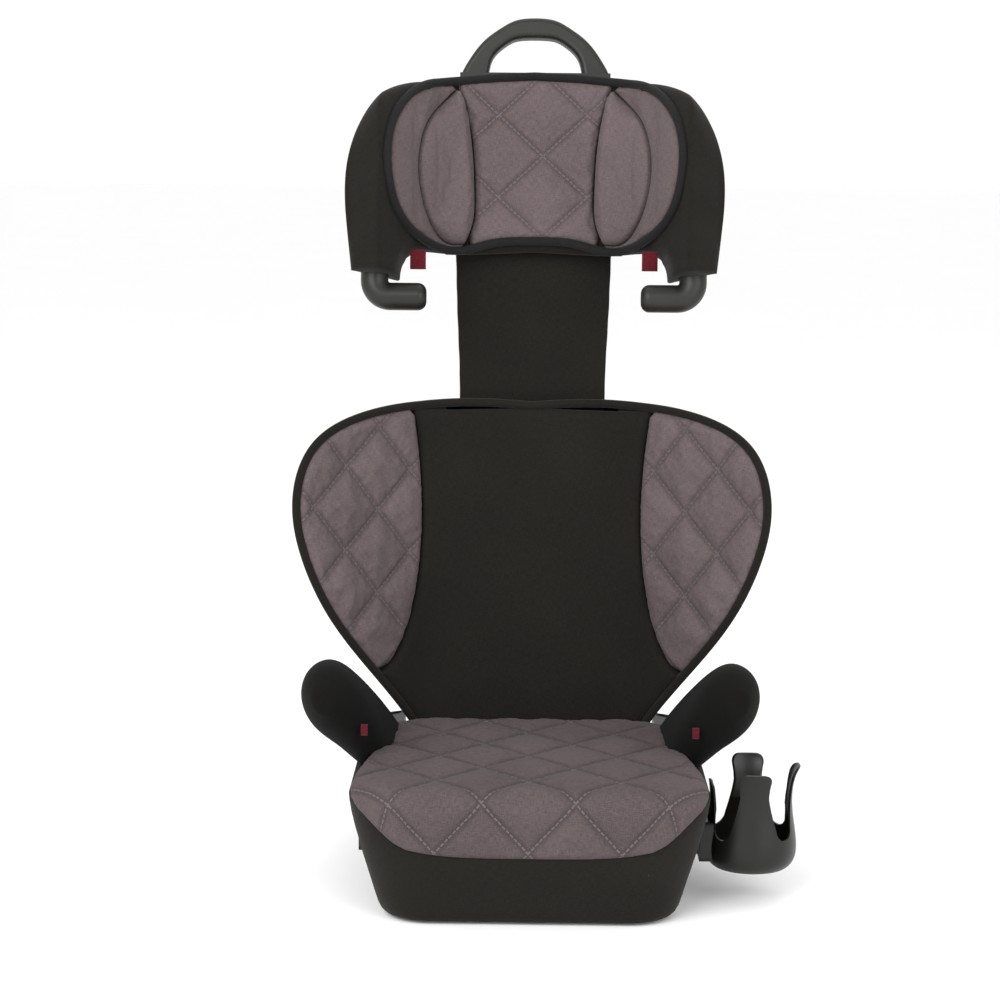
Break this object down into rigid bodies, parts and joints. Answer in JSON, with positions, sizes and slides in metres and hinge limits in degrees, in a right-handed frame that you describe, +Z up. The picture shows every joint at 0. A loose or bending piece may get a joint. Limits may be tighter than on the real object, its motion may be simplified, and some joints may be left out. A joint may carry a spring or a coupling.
{
  "type": "booster seat",
  "caption": "High-back child booster seat with padded winged backrest on a hinge, sliding winged headrest with belt guides, carrying handle and clip-on cup holder.",
  "frame": {"origin": "on the floor under the centre of the seat base", "axes": "+X across the seat towards the cup holder, +Y to the rear, +Z up"},
  "size_m": [0.4607, 0.4587, 0.787],
  "materials": {
    "plastic_shell": "fine texture",
    "plastic_dark": "satin",
    "plastic_red": "satin",
    "steel": "zinc plated",
    "rubber": "matte",
    "foam": "open-cell foam",
    "fabric_grey": "quilted woven",
    "fabric_black": "knitted",
    "binding_black": "woven tape",
    "tag_red": "woven"
  },
  "bodies": {
    "base": {"base_shell": "plastic_shell", "base_pan": "plastic_shell", "pan_screws": "steel", "base_feet": "rubber", "seat_foam": "foam", "seat_cover_panel": "fabric_grey", "seat_cover_front": "fabric_grey", "seat_cover_skirt": "fabric_black", "horn_cover_left": "fabric_black", "horn_cover_right": "fabric_black", "lap_belt_tag_left": "tag_red", "lap_belt_tag_right": "tag_red", "cup_socket_left": "plastic_dark", "cup_socket_right": "plastic_dark", "hinge_rod": "steel"},
    "cup_holder": {"cup_holder": "plastic_dark"},
    "backrest": {"back_shell": "plastic_shell", "back_foam": "foam", "back_cover_centre": "fabric_black", "back_wing_pad_left": "fabric_grey", "back_wing_pad_right": "fabric_grey", "back_cover_border": "fabric_black", "back_mouth_binding": "binding_black", "back_hinge_hook_left": "plastic_dark", "back_hinge_hook_right": "plastic_dark", "hook_screws": "steel", "height_rail": "steel", "rail_screws": "steel"},
    "headrest": {"headrest_frame": "plastic_dark", "headrest_shell": "plastic_dark", "frame_screws": "steel", "headrest_foam": "foam", "headrest_cover_centre": "fabric_grey", "headrest_bolster_left": "fabric_grey", "headrest_bolster_right": "fabric_grey", "headrest_side_panel_left": "fabric_grey", "headrest_side_panel_right": "fabric_grey", "headrest_sleeve_left": "fabric_black", "headrest_sleeve_right": "fabric_black", "headrest_rim_binding": "binding_black", "neck_cover": "fabric_black", "shoulder_belt_tag_left": "tag_red", "shoulder_belt_tag_right": "tag_red", "rod_cover": "plastic_dark"},
    "release_lever": {"release_lever": "plastic_red", "pull_rod": "steel"},
    "lock_plunger": {"lock_plunger": "plastic_dark"}
  },
  "joints": [
    {"name": "backrest_recline", "type": "hinge", "parent": "base", "child": "backrest", "pos_m": [0, 0.15, 0.05], "axis": [-1, 0, 0], "range_deg": [0, 15]},
    {"name": "headrest_height", "type": "slide", "parent": "backrest", "child": "headrest", "axis": [0, 0.1736, 0.9848], "range_m": [-0.09, 0]},
    {"name": "release_lever_pull", "type": "slide", "parent": "headrest", "child": "release_lever", "axis": [0, 0.1736, 0.9848], "range_m": [0, 0.008], "stiffness_N_per_m": 900, "springref_m": -0.004},
    {"name": "lock_plunger_retract", "type": "slide", "parent": "headrest", "child": "lock_plunger", "axis": [0, -0.9848, 0.1736], "range_m": [0, 0.004]},
    {"name": "cup_holder_pull", "type": "slide", "parent": "base", "child": "cup_holder", "axis": [1, 0, 0], "range_m": [0, 0.05]}
  ],
  "couplings": [
    {"joint": "lock_plunger_retract", "follows": "release_lever_pull", "ratio": 0.5}
  ]
}
